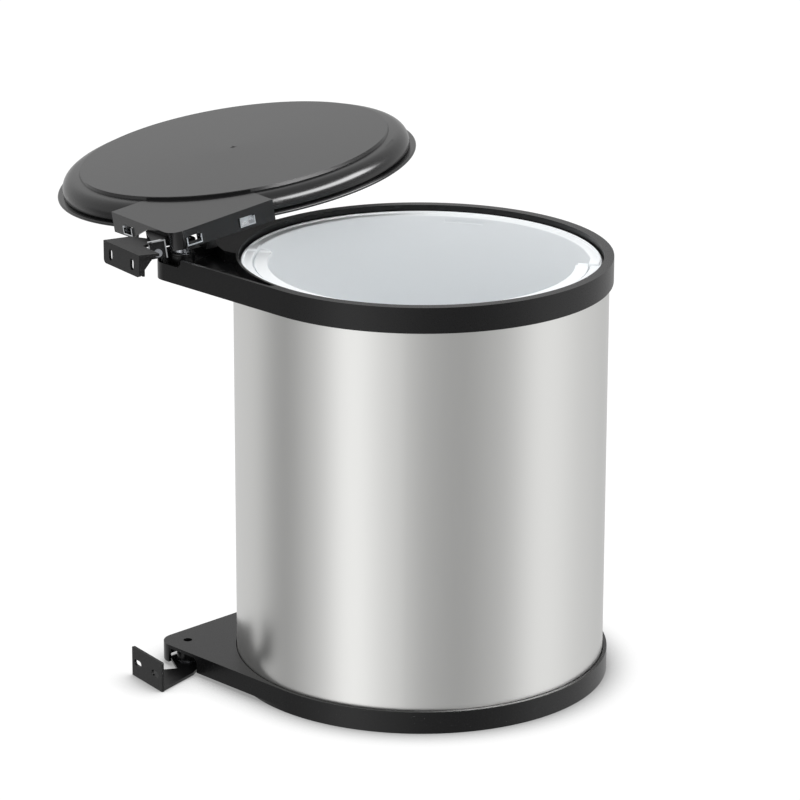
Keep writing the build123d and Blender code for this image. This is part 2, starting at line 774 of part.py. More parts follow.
with BuildPart() as lid_spring_clips:
    for side, offset, sill in windows:
        wide = window_width - 2 * clip_gap
        low = sill + clip_gap
        high = sill + window_height - clip_gap
        with BuildSketch(raised(wall_plane(side)).offset(clip_reach)):
            with Locations((-side * offset, (low + high) / 2)):
                Rectangle(wide, high - low)
            with Locations((-side * offset, (low + high) / 2 + clip_sheet)):
                Rectangle(wide - 2 * clip_sheet, high - low, mode=Mode.SUBTRACT)
        extrude(amount=-clip_reach - lid_wall - clip_depth)
        with BuildSketch(raised(wall_plane(side)).offset(-lid_wall - 0.6)):
            for leg in (-1, 1):
                with Locations((-side * offset + leg * (wide - clip_sheet) / 2, (low + clip_leg_top) / 2)):
                    Rectangle(clip_sheet, clip_leg_top - low)
        extrude(amount=0.6 - clip_depth)
    # the clip in the far window of the near wall is closed by a back plate
    side, offset, sill = windows[1]
    with BuildSketch(raised(wall_plane(side)).offset(-lid_wall - 0.6)):
        with Locations((-side * offset, (sill + clip_gap + clip_leg_top) / 2)):
            Rectangle(window_width - 2 * clip_gap, clip_leg_top - sill - clip_gap)
    extrude(amount=-clip_sheet)
    # clip round the head of the hinge pin
    with BuildSketch(raised_section(end_clip_seat + end_clip_back)):
        with Locations((0, end_middle)):
            Rectangle(2 * end_clip_half, end_clip_top - end_clip_low)
        with Locations((0, end_middle - clip_sheet)):
            Rectangle(2 * (end_clip_half - clip_sheet), end_clip_top - end_clip_low, mode=Mode.SUBTRACT)
    extrude(amount=end_clip_depth)
write(lid_spring_clips, "lid_spring_clips")

with BuildPart() as lid_plate_screws:
    for spot in screw_spots:
        with BuildSketch(lid_level(plate_top - plate_sheet - 0.05)):
            with Locations(spot):
                Circle(2.9)
        extrude(amount=-1.5, taper=18)
        with BuildSketch(lid_level(plate_top - plate_sheet - 0.1)):
            with Locations(spot):
                Circle(1.15)
        extrude(amount=plate_sheet + 0.9)
write(lid_plate_screws, "lid_plate_screws")

# Shoe that rides on the top frame's track and lifts the lid
shoe_size = (9.0, 11.0)
shoe_track_gap = 0.5
shoe_at = (pivot_x + 21.4, pivot_y - 0.3)
with BuildPart() as lid_shoe:
    with BuildSketch(Plane(origin=(*shoe_at, frame_top + shoe_track_gap), x_dir=(1, 0, 0))):
        RectangleRounded(*shoe_size, 1.5)
    extrude(until=Until.NEXT, target=lid_hinge_plate.part)
write(lid_shoe, "lid_shoe")

# Liner: tapered bucket that hangs by its rim in the top frame.  The rim has a
# raised outer lip, a flat ledge, and a slit for fingers on its far side.
liner_low = 5.0
rim_low = ledge_top + running_gap
rim_ledge_top = rim_low + 1.0
liner_outer_mouth = liner_mouth_radius + liner_wall
slit_azimuth = 40.0
slit_height = 298.6
bail_pin_radius = 1.4
bail_pivot_height = 299.6
bail_inner = 108.0
bail_outer = 117.0
bail_thick = 2.8

axis_direction = (cos(radians(bail_axis_azimuth)), sin(radians(bail_axis_azimuth)), 0)
axis_side = (-axis_direction[1], axis_direction[0], 0)
bail_middle = (
    bail_axis_offset * axis_side[0],
    bail_axis_offset * axis_side[1],
    bail_pivot_height,
)
bail_span = sqrt(bail_outer**2 - bail_axis_offset**2)


def bail_section(offset):
    """Upright plane square to the bail's pivot line, offset along it."""
    middle = [bail_middle[i] + offset * axis_direction[i] for i in range(3)]
    return Plane(origin=middle, x_dir=axis_side, z_dir=axis_direction)


groove_long = 29.0
groove_high = 2.2
groove_deep = 0.7
slit_turn = radians(slit_azimuth)
wall_share = (slit_height - liner_low - 6.4) / (rim_ledge_top - 0.6 - liner_low - 6.4)
slit_wall = (1 - wall_share) * (liner_base_radius - liner_wall) + wall_share * liner_mouth_radius

with BuildPart() as inner_liner:
    with BuildSketch(Plane.XZ):
        with BuildLine():
            Polyline((0, liner_low), (liner_base_radius - 6.0, liner_low))
            ThreePointArc(
                (liner_base_radius - 6.0, liner_low),
                (liner_base_radius - 1.7, liner_low + 1.8),
                (liner_base_radius, liner_low + 6.0),
            )
            Polyline(
                (liner_base_radius, liner_low + 6.0),
                (liner_outer_mouth, rim_low),
                (liner_rim_radius - 0.4, rim_low),
            )
            Polyline(
                (liner_rim_radius - 0.4, rim_low),
                (liner_rim_radius, rim_low + 0.5),
                (liner_rim_radius, liner_rim_top - 0.6),
                (liner_rim_radius - 0.7, liner_rim_top),
                (liner_rim_radius - 1.4, liner_rim_top - 0.2),
                (liner_rim_radius - 1.9, rim_ledge_top),
                (liner_mouth_radius + 0.6, rim_ledge_top),
                (liner_mouth_radius, rim_ledge_top - 0.6),
                (liner_base_radius - liner_wall, liner_low + 6.4),
            )
            ThreePointArc(
                (liner_base_radius - liner_wall, liner_low + 6.4),
                (liner_base_radius - liner_wall - 1.6, liner_low + 3.0),
                (liner_base_radius - liner_wall - 5.0, liner_low + liner_wall),
            )
            Polyline(
                (liner_base_radius - liner_wall - 5.0, liner_low + liner_wall),
                (0, liner_low + liner_wall),
                (0, liner_low),
            )
        make_face()
    revolve(axis=Axis.Z)
    # covers over the bail's pivots, on the rim's ledge
    for side in (-1, 1):
        with BuildSketch(bail_section(side * (bail_span + 0.9))):
            with Locations((0, rim_ledge_top - bail_pivot_height - 1.0)):
                RectangleRounded(12.0, 5.6, 1.2)
        extrude(amount=side * 7.0)
    with BuildSketch(Plane.XY.offset(rim_low - 12.0)):
        Circle(liner_rim_radius + 3)
        Circle(liner_outer_mouth + 0.4, mode=Mode.SUBTRACT)
    extrude(amount=12.0, mode=Mode.SUBTRACT)
    for side in (-1, 1):
        with BuildSketch(bail_section(side * (bail_span - 4.0))):
            Circle(bail_pin_radius + shaft_clearance)
        extrude(amount=side * 9.0, mode=Mode.SUBTRACT)
    # shallow groove in the wall, a little below the rim
    with BuildSketch(Plane.XY.offset(slit_height - groove_high / 2)):
        Circle(slit_wall + groove_deep)
        with Locations(Location((slit_wall * cos(slit_turn), slit_wall * sin(slit_turn), 0), slit_azimuth)):
            Rectangle(20.0, groove_long, mode=Mode.INTERSECT)
    extrude(amount=groove_high, mode=Mode.SUBTRACT)
write(inner_liner, "inner_liner")

# Bail: flat hoop that lies inside the mouth, on the near side
with BuildPart() as bail_handle:
    with BuildSketch(Plane.XY.offset(bail_pivot_height - bail_thick / 2)):
        Circle(bail_outer)
        Circle(bail_inner, mode=Mode.SUBTRACT)
        with Locations(Location(bail_middle, bail_axis_azimuth)):
            Rectangle(300, 150, align=(Align.CENTER, Align.MIN), mode=Mode.SUBTRACT)
    extrude(amount=bail_thick)
    for side in (-1, 1):
        with BuildSketch(bail_section(side * (bail_span - 0.4))):
            Circle(bail_thick / 2 + 1.2)
        extrude(amount=-side * 7.0)
        with BuildSketch(bail_section(side * (bail_span - 2.0))):
            Circle(bail_pin_radius)
        extrude(amount=side * 6.2)
write(bail_handle, "bail_handle")
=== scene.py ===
"""Looks of the built-in swing-out bin: finishes, small fittings, light and camera.

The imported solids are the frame.  They keep their places, and the pieces made
here either sit on them or stand for small ones.
"""

import json
import math

import bmesh
import bpy
from bpy.props import FloatProperty, IntProperty, PointerProperty
from mathutils import Matrix, Vector

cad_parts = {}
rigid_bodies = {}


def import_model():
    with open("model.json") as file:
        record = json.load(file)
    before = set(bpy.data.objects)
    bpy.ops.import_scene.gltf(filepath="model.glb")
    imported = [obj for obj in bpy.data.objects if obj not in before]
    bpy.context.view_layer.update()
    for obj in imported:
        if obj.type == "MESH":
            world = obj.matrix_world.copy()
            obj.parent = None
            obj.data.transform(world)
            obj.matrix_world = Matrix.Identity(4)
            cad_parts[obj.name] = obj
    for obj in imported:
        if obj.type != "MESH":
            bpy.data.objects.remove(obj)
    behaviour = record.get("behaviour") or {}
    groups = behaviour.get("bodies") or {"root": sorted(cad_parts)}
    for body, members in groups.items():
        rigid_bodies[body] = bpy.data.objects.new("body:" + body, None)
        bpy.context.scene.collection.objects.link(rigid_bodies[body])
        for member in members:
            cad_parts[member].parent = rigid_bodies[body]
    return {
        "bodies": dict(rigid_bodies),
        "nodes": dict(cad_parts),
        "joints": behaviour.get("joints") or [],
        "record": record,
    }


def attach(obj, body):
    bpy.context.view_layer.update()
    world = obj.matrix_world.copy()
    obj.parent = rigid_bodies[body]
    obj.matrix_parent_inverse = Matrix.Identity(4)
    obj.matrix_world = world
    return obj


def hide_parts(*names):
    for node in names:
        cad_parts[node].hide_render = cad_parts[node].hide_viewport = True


bl_info = {
    "name": "Built-in Bin",
    "version": (1, 0, 0),
    "blender": (4, 5, 0),
    "location": "View3D > Sidebar > Bin",
    "description": "Dresses the packed swing-out bin and sets its stage",
    "category": "Object",
}

MM = 0.001
WHITE = (1.0, 1.0, 1.0, 1.0)

# Places shared with the solids, in millimetres
PIVOT_DISTANCE = 167.7
OPEN_DIRECTION = -35.0
SWING_ANGLE = 79.0
CORNER_AZIMUTH = OPEN_DIRECTION + 180.0
SPIGOT_FACE = 129.05
RIVET_AZIMUTHS = (40, 130, 230, 320)
BASE_RIVET_HEIGHT = 9.0
TOP_RIVET_HEIGHT = 293.3
LID_TILT = 8.3
HINGE_AZIMUTH = 247.0
HINGE_OFFSET = (-18.0, 6.5)
HINGE_HEIGHT = 311.8
LID_CLOSED_HEIGHT = 311.2
LID_CROWN = 18.4
SCREW_SPOTS = ((150.0, -26.0), (150.0, 26.0), (140.0, 0.0))
SCREW_SEAT = 8.75


def pivot():
    """Swing pivot in the plan, in millimetres."""
    angle = math.radians(CORNER_AZIMUTH)
    return Vector((PIVOT_DISTANCE * math.cos(angle), PIVOT_DISTANCE * math.sin(angle), 0))


def lid_matrix():
    """Takes the lid's own plan, X to its corner and Z up from its lip, to the raised lid."""
    closed = math.radians(OPEN_DIRECTION + SWING_ANGLE)
    centre = pivot() + Vector((math.cos(closed), math.sin(closed), 0)) * PIVOT_DISTANCE
    centre.z = LID_CLOSED_HEIGHT
    level = Matrix.Translation(centre) @ Matrix.Rotation(closed + math.pi, 4, "Z")
    hinge = pivot() + Vector((*HINGE_OFFSET, HINGE_HEIGHT))
    azimuth = math.radians(HINGE_AZIMUTH)
    pin = Vector((math.cos(azimuth), math.sin(azimuth), 0))
    turn = Matrix.Rotation(math.radians(LID_TILT), 4, pin)
    return Matrix.Translation(hinge) @ turn @ Matrix.Translation(-hinge) @ level


class BinSettings(bpy.types.PropertyGroup):
    """Driving sizes of the dressing and levels of the stage."""

    rivet_radius: FloatProperty(name="Rivet radius", default=1.6 * MM, min=0.5 * MM, unit="LENGTH")
    screw_radius: FloatProperty(name="Screw head radius", default=2.9 * MM, min=1 * MM, unit="LENGTH")
    gate_radius: FloatProperty(name="Gate mark radius", default=2.6 * MM, min=0.5 * MM, unit="LENGTH")
    fitting_segments: IntProperty(name="Segments of small fittings", default=32, min=8, max=96)
    key_strength: FloatProperty(name="Overhead lamp, W", default=5.0, min=0.0)
    sky_strength: FloatProperty(name="Even light", default=1.12, min=0.0)
    lens: FloatProperty(name="Lens, mm", default=178.8, min=20.0)


def linear(hex_colour):
    """Linear colour with alpha from an sRGB hex string."""
    values = [int(hex_colour[i : i + 2], 16) / 255 for i in (1, 3, 5)]
    return tuple(v / 12.92 if v <= 0.04045 else ((v + 0.055) / 1.055) ** 2.4 for v in values) + (1.0,)


def add_node(tree, kind, at, inputs=None, **settings):
    """Add a shader or geometry node, with its place, its settings and its input values."""
    node = tree.nodes.new(kind)
    node.location = at
    for name, value in settings.items():
        setattr(node, name, value)
    for socket, value in (inputs or {}).items():
        node.inputs[socket].default_value = value
    return node


def new_material(name, colour, roughness, ior=1.5, metallic=0.0):
    """A material with one Principled shader and its uniform values."""
    material = bpy.data.materials.new(name)
    material.use_nodes = True
    shader = material.node_tree.nodes["Principled BSDF"]
    shader.inputs["Base Color"].default_value = linear(colour)
    shader.inputs["Roughness"].default_value = roughness
    shader.inputs["IOR"].default_value = ior
    shader.inputs["Metallic"].default_value = metallic
    return material, shader


def add_grain(material, shader, size_mm, roughness_range, bump_mm, stretch=(1, 1, 1)):
    """Fine surface grain: noise of a real size drives the roughness and a slight bump."""
    tree = material.node_tree
    coordinates = add_node(tree, "ShaderNodeTexCoord", (-900, 0))
    mapping = add_node(tree, "ShaderNodeMapping", (-720, 0), {"Scale": stretch})
    noise = add_node(tree, "ShaderNodeTexNoise", (-540, 0), {"Scale": 1 / (size_mm * MM), "Detail": 3.0})
    spread = add_node(
        tree,
        "ShaderNodeMapRange",
        (-340, 60),
        {"From Min": 0.3, "From Max": 0.7, "To Min": roughness_range[0], "To Max": roughness_range[1]},
    )
    bump = add_node(tree, "ShaderNodeBump", (-340, -220), {"Strength": 1.0, "Distance": bump_mm * MM})
    tree.links.new(coordinates.outputs["Object"], mapping.inputs["Vector"])
    tree.links.new(mapping.outputs["Vector"], noise.inputs["Vector"])
    tree.links.new(noise.outputs["Fac"], spread.inputs["Value"])
    tree.links.new(spread.outputs["Result"], shader.inputs["Roughness"])
    tree.links.new(noise.outputs["Fac"], bump.inputs["Height"])
    tree.links.new(bump.outputs["Normal"], shader.inputs["Normal"])


def black_abs():
    """Moulded black ABS of the two frames, with a satin mould finish."""
    material, shader = new_material("Black ABS, satin", "#0a0a0b", 0.3, ior=1.54)
    # less gloss than the IOR alone gives, set to reach the photograph's dark faces
    shader.inputs["Specular IOR Level"].default_value = 0.3
    add_grain(material, shader, 0.6, (0.26, 0.34), 0.003)
    return material


def lid_abs():
    """Moulded black ABS of the lid, finely etched, so it picks up a soft sheen."""
    material, shader = new_material("Black ABS, etched sheen", "#0c0c0d", 0.2, ior=1.54)
    add_grain(material, shader, 0.5, (0.17, 0.24), 0.0015)
    return material


def brushed_stainless():
    """Rolled stainless sheet: fine upright brush lines, nearly even colour."""
    material, shader = new_material("Stainless steel 430, brushed", "#e0e0de", 0.3, metallic=1.0)
    add_grain(material, shader, 0.5, (0.29, 0.32), 0.0002, stretch=(1, 1, 0.012))
    return material


def white_polypropylene():
    """Moulded white polypropylene of the liner, a little translucent and cool."""
    material, shader = new_material("Polypropylene, white satin", "#f2f5f7", 0.36, ior=1.49)
    shader.inputs["Subsurface Weight"].default_value = 0.15
    shader.inputs["Subsurface Radius"].default_value = (1.0, 1.0, 1.0)
    shader.inputs["Subsurface Scale"].default_value = 1.5 * MM
    return material


def powder_coat():
    """Black powder coat of the wall brackets, with its slight orange peel."""
    material, shader = new_material("Powder coat, black", "#0b0b0c", 0.42, ior=1.5)
    # less gloss than the IOR alone gives, as for the frames
    shader.inputs["Specular IOR Level"].default_value = 0.35
    add_grain(material, shader, 0.9, (0.38, 0.5), 0.012)
    return material


def chromed_sheet():
    """Bright chromed steel of the lid's folded spring clips."""
    material, shader = new_material("Chromed steel, bright", "#d6d8da", 0.07, metallic=1.0)
    add_grain(material, shader, 3.0, (0.05, 0.1), 0.001)
    return material


def zinc_plate():
    """Bright zinc plate of pins, clips, washer and screws."""
    material, shader = new_material("Zinc plate, bright", "#bcbfc4", 0.28, metallic=1.0)
    add_grain(material, shader, 1.2, (0.22, 0.36), 0.002)
    return material


def rivet_aluminium():
    """Plain aluminium of the blind rivets."""
    material, _ = new_material("Aluminium, plain", "#d9dadc", 0.35, metallic=1.0)
    return material


def black_acetal():
    """Black acetal of the bushes and the lid's shoe, smooth from the mould."""
    material, shader = new_material("Acetal, black", "#0e0e0f", 0.3, ior=1.48)
    add_grain(material, shader, 0.8, (0.26, 0.36), 0.002)
    return material


FINISHES = {
    "black_abs": black_abs,
    "lid_abs": lid_abs,
    "brushed_stainless": brushed_stainless,
    "rivet_aluminium": rivet_aluminium,
    "zinc_plated_steel": zinc_plate,
    "black_coated_steel": powder_coat,
    "chromed_steel": chromed_sheet,
    "white_polypropylene": white_polypropylene,
    "acetal": black_acetal,
}


def finish_material(slot):
    """The one material of a slot, made when it is first asked for."""
    if slot not in FINISHES:
        raise RuntimeError(f"no finish is written for slot {slot}")
    key = f"slot_{slot}"
    if key not in bpy.context.scene:
        bpy.context.scene[key] = FINISHES[slot]().name
    return bpy.data.materials[bpy.context.scene[key]]


def link_mesh(name, mesh_builder, slot, body):
    """Make one piece from a bmesh, in the row frame, riding on a body."""
    mesh = bpy.data.meshes.new(name)
    bmesh.ops.recalc_face_normals(mesh_builder, faces=mesh_builder.faces)
    mesh_builder.to_mesh(mesh)
    mesh_builder.free()
    mesh.materials.append(finish_material(slot))
    for polygon in mesh.polygons:
        polygon.use_smooth = True
    piece = bpy.data.objects.new(name, mesh)
    bpy.context.collection.objects.link(piece)
    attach(piece, body)
    return piece


def lathe(profile, segments, matrix):
    """A turned body from (radius, height) points in metres, closed on its axis."""
    form = bmesh.new()
    rings = []
    for radius, height in profile:
        if radius < 1e-7:
            rings.append([form.verts.new(matrix @ Vector((0, 0, height)))])
            continue
        ring = []
        for i in range(segments):
            angle = 2 * math.pi * i / segments
            point = Vector((radius * math.cos(angle), radius * math.sin(angle), height))
            ring.append(form.verts.new(matrix @ point))
        rings.append(ring)
    for low, high in zip(rings, rings[1:]):
        for i in range(segments):
            j = (i + 1) % segments
            if len(low) == 1:
                form.faces.new((low[0], high[i], high[j]))
            elif len(high) == 1:
                form.faces.new((low[i], low[j], high[0]))
            else:
                form.faces.new((low[i], low[j], high[j], high[i]))
    return form


def repeat_on_points(name, places, unit, slot, body, replaced):
    """Place a unit mesh on every given frame through Geometry Nodes, then keep the result.

    Each place is a matrix.  Its position and rotation are stored on the points.
    """
    points = bpy.data.meshes.new(name)
    points.from_pydata([m.to_translation() for m in places], [], [])
    turns = points.attributes.new("turn", "FLOAT_VECTOR", "POINT")
    for i, m in enumerate(places):
        turns.data[i].vector = m.to_euler()
    holder = bpy.data.objects.new(name, points)
    bpy.context.collection.objects.link(holder)

    tree = bpy.data.node_groups.new(f"{name} repeat", "GeometryNodeTree")
    face = tree.interface
    face.new_socket("Geometry", in_out="INPUT", socket_type="NodeSocketGeometry")
    unit_socket = face.new_socket("Unit", in_out="INPUT", socket_type="NodeSocketObject")
    finish_socket = face.new_socket("Finish", in_out="INPUT", socket_type="NodeSocketMaterial")
    face.new_socket("Geometry", in_out="OUTPUT", socket_type="NodeSocketGeometry")
    group_in = add_node(tree, "NodeGroupInput", (-600, 0))
    info = add_node(tree, "GeometryNodeObjectInfo", (-400, -140))
    turn = add_node(
        tree, "GeometryNodeInputNamedAttribute", (-400, -340), {"Name": "turn"}, data_type="FLOAT_VECTOR"
    )
    place = add_node(tree, "GeometryNodeInstanceOnPoints", (-160, 0))
    realize = add_node(tree, "GeometryNodeRealizeInstances", (40, 0))
    paint = add_node(tree, "GeometryNodeSetMaterial", (220, 0))
    group_out = add_node(tree, "NodeGroupOutput", (400, 0))
    link = tree.links.new
    link(group_in.outputs["Geometry"], place.inputs["Points"])
    link(group_in.outputs["Unit"], info.inputs["Object"])
    link(info.outputs["Geometry"], place.inputs["Instance"])
    link(turn.outputs["Attribute"], place.inputs["Rotation"])
    link(place.outputs["Instances"], realize.inputs["Geometry"])
    link(realize.outputs["Geometry"], paint.inputs["Geometry"])
    link(group_in.outputs["Finish"], paint.inputs["Material"])
    link(paint.outputs["Geometry"], group_out.inputs["Geometry"])

    modifier = holder.modifiers.new("Repeat", "NODES")
    modifier.node_group = tree
    modifier[unit_socket.identifier] = unit
    modifier[finish_socket.identifier] = finish_material(slot)
    graph = bpy.context.evaluated_depsgraph_get()
    mesh = bpy.data.meshes.new_from_object(holder.evaluated_get(graph))
    if not mesh.polygons:
        raise RuntimeError(f"{name}: the repeated mesh came out empty")
    holder.modifiers.remove(modifier)
    holder.data = mesh
    bpy.data.meshes.remove(points)
    bpy.data.objects.remove(unit)
    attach(holder, body)
    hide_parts(replaced)
    return holder


def unit_object(name, form):
    """A unit mesh for repeating, smooth all over."""
    mesh = bpy.data.meshes.new(name)
    bmesh.ops.recalc_face_normals(form, faces=form.faces)
    form.to_mesh(mesh)
    form.free()
    for polygon in mesh.polygons:
        polygon.use_smooth = True
    unit = bpy.data.objects.new(name, mesh)
    bpy.context.collection.objects.link(unit)
    return unit


def rivet_places(height):
    """Frames of the rivets on the spigot's inner face, Z pointing at the bin's axis."""
    places = []
    for azimuth in RIVET_AZIMUTHS:
        angle = math.radians(azimuth)
        outward = Vector((math.cos(angle), math.sin(angle), 0))
        spot = outward * SPIGOT_FACE * MM
        spot.z = height * MM
        turn = (-outward).to_track_quat("Z", "Y").to_matrix().to_4x4()
        places.append(Matrix.Translation(spot) @ turn)
    return places


def rivet_form(radius, segments):
    """Blind rivet: domed head with the broken mandrel's dimple, and its shank."""
    head = 2 * radius
    profile = [
        (0.0, 0.55 * MM),
        (0.45 * radius, 0.55 * MM),
        (0.5 * radius, 1.0 * MM),
        (1.2 * radius, 0.9 * MM),
        (0.9 * head, 0.45 * MM),
        (head, 0.12 * MM),
        (head, 0.0),
        (radius, 0.0),
        (radius, -3.0 * MM),
        (0.0, -3.0 * MM),
    ]
    return lathe(profile, segments, Matrix.Identity(4))


def screw_form(radius):
    """Pan head with a cross recess, facing +Z, and a plain shank behind it."""
    form = bmesh.new()
    high = 1.5 * MM
    deep = 2.0 * MM
    arm = 0.62 * radius
    half = 0.16 * radius
    sunk = 0.55 * MM
    recess_taper = 0.8
    shank_share = 0.4
    cross = [(arm, half), (half, half), (half, arm), (-half, arm), (-half, half), (-arm, half)]
    cross += [(-x, -y) for x, y in cross]
    count = len(cross)
    crown = [form.verts.new((x, y, high)) for x, y in cross]
    floor = [form.verts.new((recess_taper * x, recess_taper * y, high - sunk)) for x, y in cross]
    rings = []
    for share, height in ((0.72, high), (0.92, 0.8 * high), (1.0, 0.45 * high), (1.0, 0.0)):
        ring = []
        for x, y in cross:
            angle = math.atan2(y, x)
            reach = share * radius
            ring.append(form.verts.new((reach * math.cos(angle), reach * math.sin(angle), height)))
        rings.append(ring)
    shank = [form.verts.new((shank_share * v.co.x, shank_share * v.co.y, -deep)) for v in rings[-1]]
    neck = [form.verts.new((v.co.x, v.co.y, 0.0)) for v in shank]
    form.faces.new(floor)
    loops = [floor, crown, *rings, neck, shank]
    for inner, outer in zip(loops, loops[1:]):
        for i in range(count):
            j = (i + 1) % count
            form.faces.new((inner[i], inner[j], outer[j], outer[i]))
    form.faces.new(reversed(shank))
    return form


def screw_places():
    """Frames of the lid plate's screws, Z pointing down out of the plate."""
    to_lid = lid_matrix()
    flip = Matrix.Rotation(math.pi, 4, "X")
    places = []
    for x, y in SCREW_SPOTS:
        frame = to_lid @ Matrix.Translation((x, y, SCREW_SEAT)) @ flip
        frame.translation *= MM
        places.append(frame)
    return places


class BIN_OT_finishes(bpy.types.Operator):
    """Give every solid the finish of its material slot"""

    bl_idname = "bin.finishes"
    bl_label = "Apply finishes"

    def execute(self, context):
        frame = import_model()
        for entry in frame["record"]["subparts"]:
            node = frame["nodes"][entry["node"]]
            material = finish_material(entry["material_slot"])
            for slot in node.material_slots:
                slot.material = material
        return {"FINISHED"}


class BIN_OT_rivets(bpy.types.Operator):
    """Blind rivets with dimpled heads inside both frames"""

    bl_idname = "bin.rivets"
    bl_label = "Rivets"

    def execute(self, context):
        settings = context.scene.bin_settings
        heights = {"base_frame_rivets": BASE_RIVET_HEIGHT, "top_frame_rivets": TOP_RIVET_HEIGHT}
        for name, height in heights.items():
            form = rivet_form(settings.rivet_radius, settings.fitting_segments)
            unit = unit_object(f"{name}_unit", form)
            places = rivet_places(height)
            repeat_on_points(f"{name}_set", places, unit, "rivet_aluminium", "bin", name)
        return {"FINISHED"}


class BIN_OT_screws(bpy.types.Operator):
    """Cross-head screws that hold the lid's hinge plate"""

    bl_idname = "bin.screws"
    bl_label = "Hinge plate screws"

    def execute(self, context):
        settings = context.scene.bin_settings
        unit = unit_object("plate_screw_unit", screw_form(settings.screw_radius))
        places = screw_places()
        repeat_on_points("plate_screws", places, unit, "zinc_plated_steel", "lid", "lid_plate_screws")
        return {"FINISHED"}


class BIN_OT_gate_mark(bpy.types.Operator):
    """Moulding gate mark in the middle of the lid's disc"""

    bl_idname = "bin.gate_mark"
    bl_label = "Gate mark"

    def execute(self, context):
        settings = context.scene.bin_settings
        to_lid = lid_matrix() @ Matrix.Translation((0, 0, LID_CROWN))
        to_lid.translation *= MM
        radius = settings.gate_radius
        profile = [
            (0.0, 0.5 * MM),
            (0.3 * radius, 0.45 * MM),
            (0.4 * radius, 0.08 * MM),
            (0.8 * radius, 0.2 * MM),
            (radius, 0.0),
            (radius, -0.3 * MM),
            (0.0, -0.3 * MM),
        ]
        form = lathe(profile, settings.fitting_segments, to_lid)
        link_mesh("lid_gate_mark", form, "lid_abs", "lid")
        return {"FINISHED"}


# Level of the surroundings that glossy surfaces see below the horizon, by
# azimuth in degrees from the camera's side, going to the camera's right.
# Fitted so that the steel's bands come out as light and dark as in the photograph
SURROUND_LEVELS = (
    (-180, 0.73),
    (-153, 0.73),
    (-126, 0.73),
    (-90, 0.34),
    (-69, 0.62),
    (-43, 1.28),
    (-19, 0.86),
    (4, 0.48),
    (25, 0.39),
    (47, 0.54),
    (80, 1.03),
    (124, 0.75),
    (150, 0.64),
    (180, 0.73),
)
# Above the horizon they are one level, but for a long soft window on the right
SKY_LEVEL = 0.7
WINDOW_LEVEL = 14.0
WINDOW_SPAN = ((-180, 0.0), (14, 0.0), (28, 1.0), (100, 1.0), (116, 0.0), (180, 0.0))
# Sines of the elevations between which the window comes in and fades out,
# and those between which the level goes over from below the horizon to above it
WINDOW_FOOT = (0.42, 0.5)
WINDOW_HEAD = (0.8, 0.72)
HORIZON = (-0.05, 0.1)
BACKGROUND_LEVEL = 1.05
CAMERA_SIDE = 235.0


def azimuth_ramp(tree, levels, at, share):
    """Colour ramp of levels by azimuth, and the peak that its colours are parts of."""
    node = add_node(tree, "ShaderNodeValToRGB", at)
    ramp = node.color_ramp
    ramp.interpolation = "EASE"
    peak = max(level for _, level in levels)
    while len(ramp.elements) > 1:
        ramp.elements.remove(ramp.elements[-1])
    for i, (angle, level) in enumerate(levels):
        spot = (angle + 180) / 360
        element = ramp.elements[0] if i == 0 else ramp.elements.new(spot)
        element.position = spot
        element.color = (level / peak, level / peak, level / peak, 1)
    tree.links.new(share, node.inputs["Fac"])
    return node.outputs["Color"], peak


